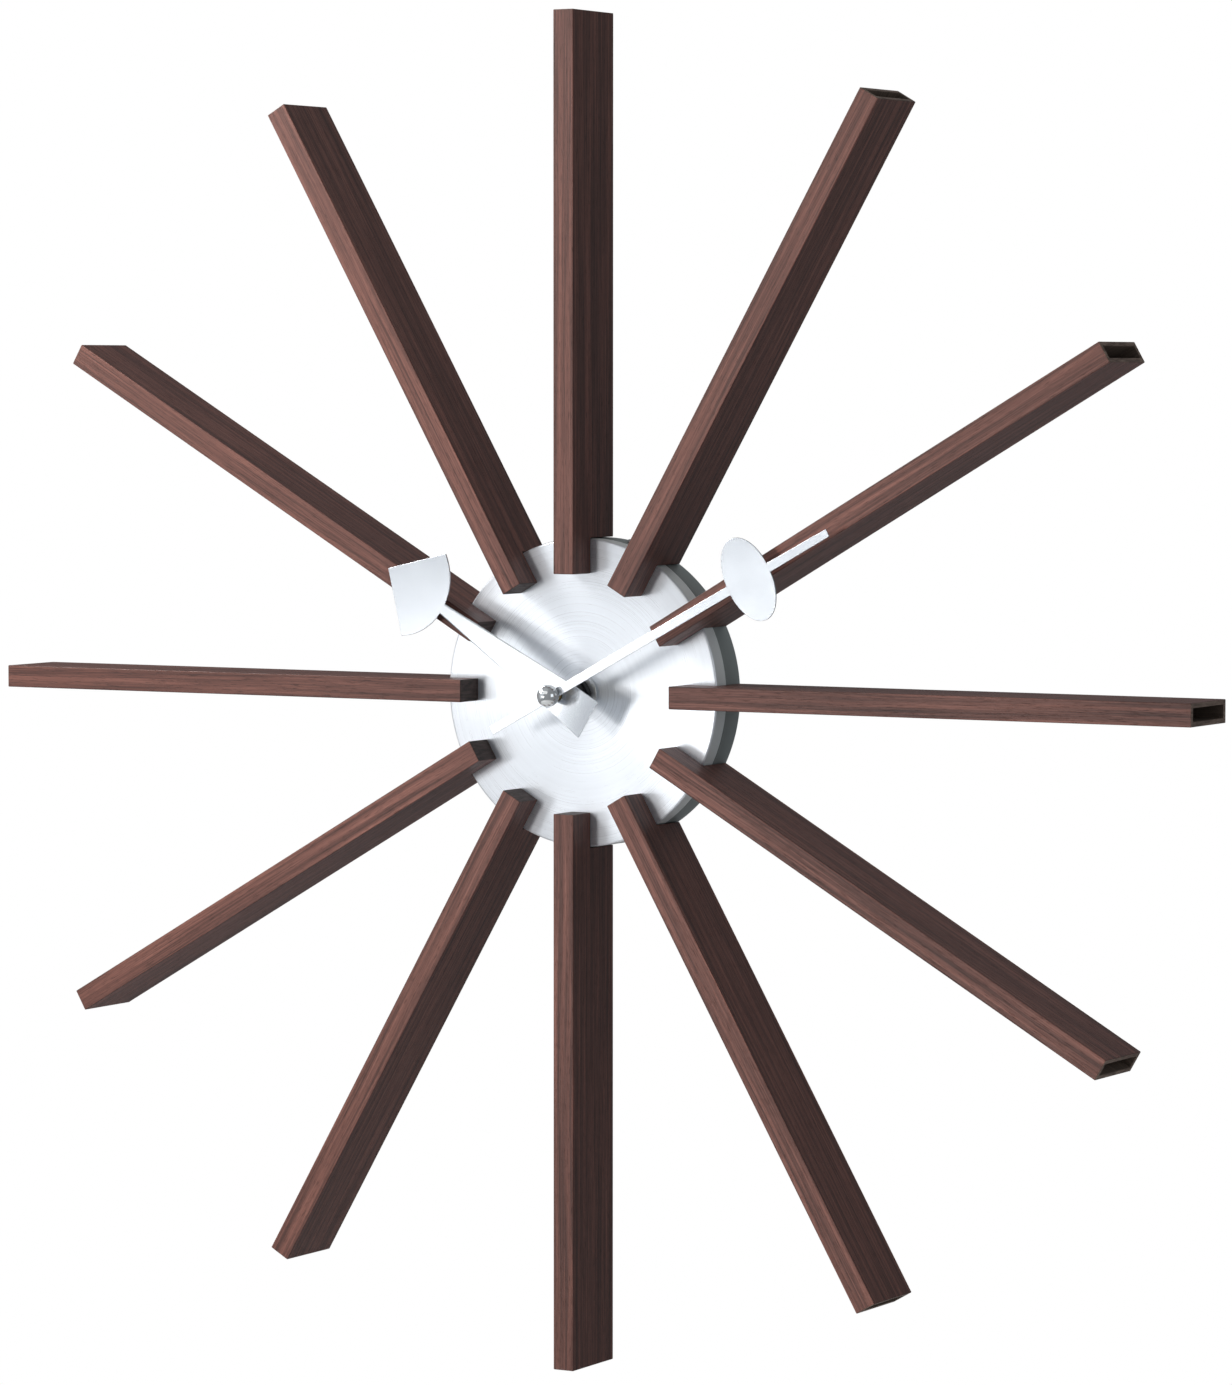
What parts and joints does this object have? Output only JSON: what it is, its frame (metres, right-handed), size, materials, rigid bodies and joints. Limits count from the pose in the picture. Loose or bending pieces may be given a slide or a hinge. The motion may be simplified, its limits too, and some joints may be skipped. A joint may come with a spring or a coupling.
{
  "type": "sunburst wall clock",
  "caption": "Sunburst wall clock: hollow wooden rays round a shallow aluminium dial and drum, satin paddle hands, quartz movement with its gear train, keyhole hanger.",
  "frame": {"origin": "on the dial axis at the wall plane: the middle of the clock where it lies against the wall", "axes": "-Y is the way the dial faces, so the wall is the plane Y = 0; +Z is towards twelve o'clock; +X is to the right as seen from the front"},
  "size_m": [0.61, 0.057, 0.61],
  "materials": {
    "walnut": "dark walnut, satin lacquer",
    "spun_aluminium": "spun with concentric lines, satin",
    "grey_paint": "satin grey enamel",
    "satin_aluminium": "sheet with a fine satin finish",
    "blackened_steel": "black oxide",
    "chrome": "polished",
    "brass": "machined",
    "zinc_steel": "bright zinc plate",
    "black_plastic": "fine moulded grain",
    "ivory_plastic": "moulded acetal",
    "rubber": "matte",
    "copper": "enamelled winding wire",
    "board_green": "solder mask",
    "cell_jacket": "printed sleeve without any lettering"
  },
  "bodies": {
    "clock_body": {"ray_01": "walnut", "ray_02": "walnut", "ray_03": "walnut", "ray_04": "walnut", "ray_05": "walnut", "ray_06": "walnut", "ray_07": "walnut", "ray_08": "walnut", "ray_09": "walnut", "ray_10": "walnut", "ray_11": "walnut", "ray_12": "walnut", "ray_screw_01": "zinc_steel", "ray_screw_02": "zinc_steel", "ray_screw_03": "zinc_steel", "ray_screw_04": "zinc_steel", "ray_screw_05": "zinc_steel", "ray_screw_06": "zinc_steel", "ray_screw_07": "zinc_steel", "ray_screw_08": "zinc_steel", "ray_screw_09": "zinc_steel", "ray_screw_10": "zinc_steel", "ray_screw_11": "zinc_steel", "ray_screw_12": "zinc_steel", "dial_face": "spun_aluminium", "drum_case": "grey_paint", "hanger_plate": "zinc_steel", "hanger_rivet_left": "zinc_steel", "hanger_rivet_right": "zinc_steel", "movement_housing": "black_plastic", "movement_cover": "black_plastic", "rubber_gasket": "rubber", "dial_washer": "zinc_steel", "bush_nut": "blackened_steel", "train_plate": "brass", "stator": "zinc_steel", "coil": "copper", "coil_core": "zinc_steel", "circuit_board": "board_green", "crystal": "chrome", "chip": "black_plastic", "contact_positive": "zinc_steel", "contact_negative": "zinc_steel"},
    "minute": {"minute_arbor": "zinc_steel", "clutch_spring": "brass", "minute_hand": "satin_aluminium", "cap_nut": "chrome"},
    "hour": {"hour_wheel": "brass", "hour_hand": "satin_aluminium"},
    "motion": {"motion_wheel": "ivory_plastic"},
    "knob": {"setting_knob": "black_plastic"},
    "centre": {"centre_wheel": "brass"},
    "third": {"third_wheel": "ivory_plastic"},
    "seconds": {"seconds_wheel": "ivory_plastic"},
    "intermediate": {"intermediate_wheel": "ivory_plastic"},
    "rotor": {"rotor": "zinc_steel"},
    "cell": {"battery": "cell_jacket"}
  },
  "joints": [
    {"name": "minute_turn", "type": "hinge", "parent": "clock_body", "child": "minute", "pos_m": [0, -0.0492, 0], "axis": [0, 1, 0], "continuous": true},
    {"name": "hour_turn", "type": "hinge", "parent": "clock_body", "child": "hour", "pos_m": [0, -0.0437, 0], "axis": [0, 1, 0], "continuous": true},
    {"name": "motion_turn", "type": "hinge", "parent": "clock_body", "child": "motion", "pos_m": [0.00985, -0.0153, 0.00174], "axis": [0, 1, 0], "continuous": true},
    {"name": "knob_turn", "type": "hinge", "parent": "clock_body", "child": "knob", "pos_m": [0.0197, -0.0027, 0], "axis": [0, 1, 0], "continuous": true},
    {"name": "rotor_turn", "type": "hinge", "parent": "clock_body", "child": "rotor", "pos_m": [-0.01374, -0.01, -0.00284], "axis": [0, 1, 0], "continuous": true},
    {"name": "intermediate_turn", "type": "hinge", "parent": "clock_body", "child": "intermediate", "pos_m": [-0.01249, -0.0071, 0.00425], "axis": [0, 1, 0], "continuous": true},
    {"name": "seconds_turn", "type": "hinge", "parent": "clock_body", "child": "seconds", "pos_m": [-0.00829, -0.0082, 0.01152], "axis": [0, 1, 0], "continuous": true},
    {"name": "third_turn", "type": "hinge", "parent": "clock_body", "child": "third", "pos_m": [0.00188, -0.0093, 0.01064], "axis": [0, 1, 0], "continuous": true},
    {"name": "centre_turn", "type": "hinge", "parent": "clock_body", "child": "centre", "pos_m": [0, -0.012, 0], "axis": [0, 1, 0], "continuous": true},
    {"name": "battery_slide", "type": "slide", "parent": "clock_body", "child": "cell", "axis": [0, 1, 0], "range_m": [0, 0.02]}
  ],
  "couplings": [
    {"joint": "hour_turn", "follows": "minute_turn", "ratio": 0.083333},
    {"joint": "motion_turn", "follows": "minute_turn", "ratio": -0.33333},
    {"joint": "knob_turn", "follows": "minute_turn", "ratio": 1},
    {"joint": "intermediate_turn", "follows": "rotor_turn", "ratio": -0.2},
    {"joint": "seconds_turn", "follows": "rotor_turn", "ratio": 0.033333},
    {"joint": "third_turn", "follows": "rotor_turn", "ratio": -0.0044444},
    {"joint": "centre_turn", "follows": "rotor_turn", "ratio": 0.00055556}
  ]
}
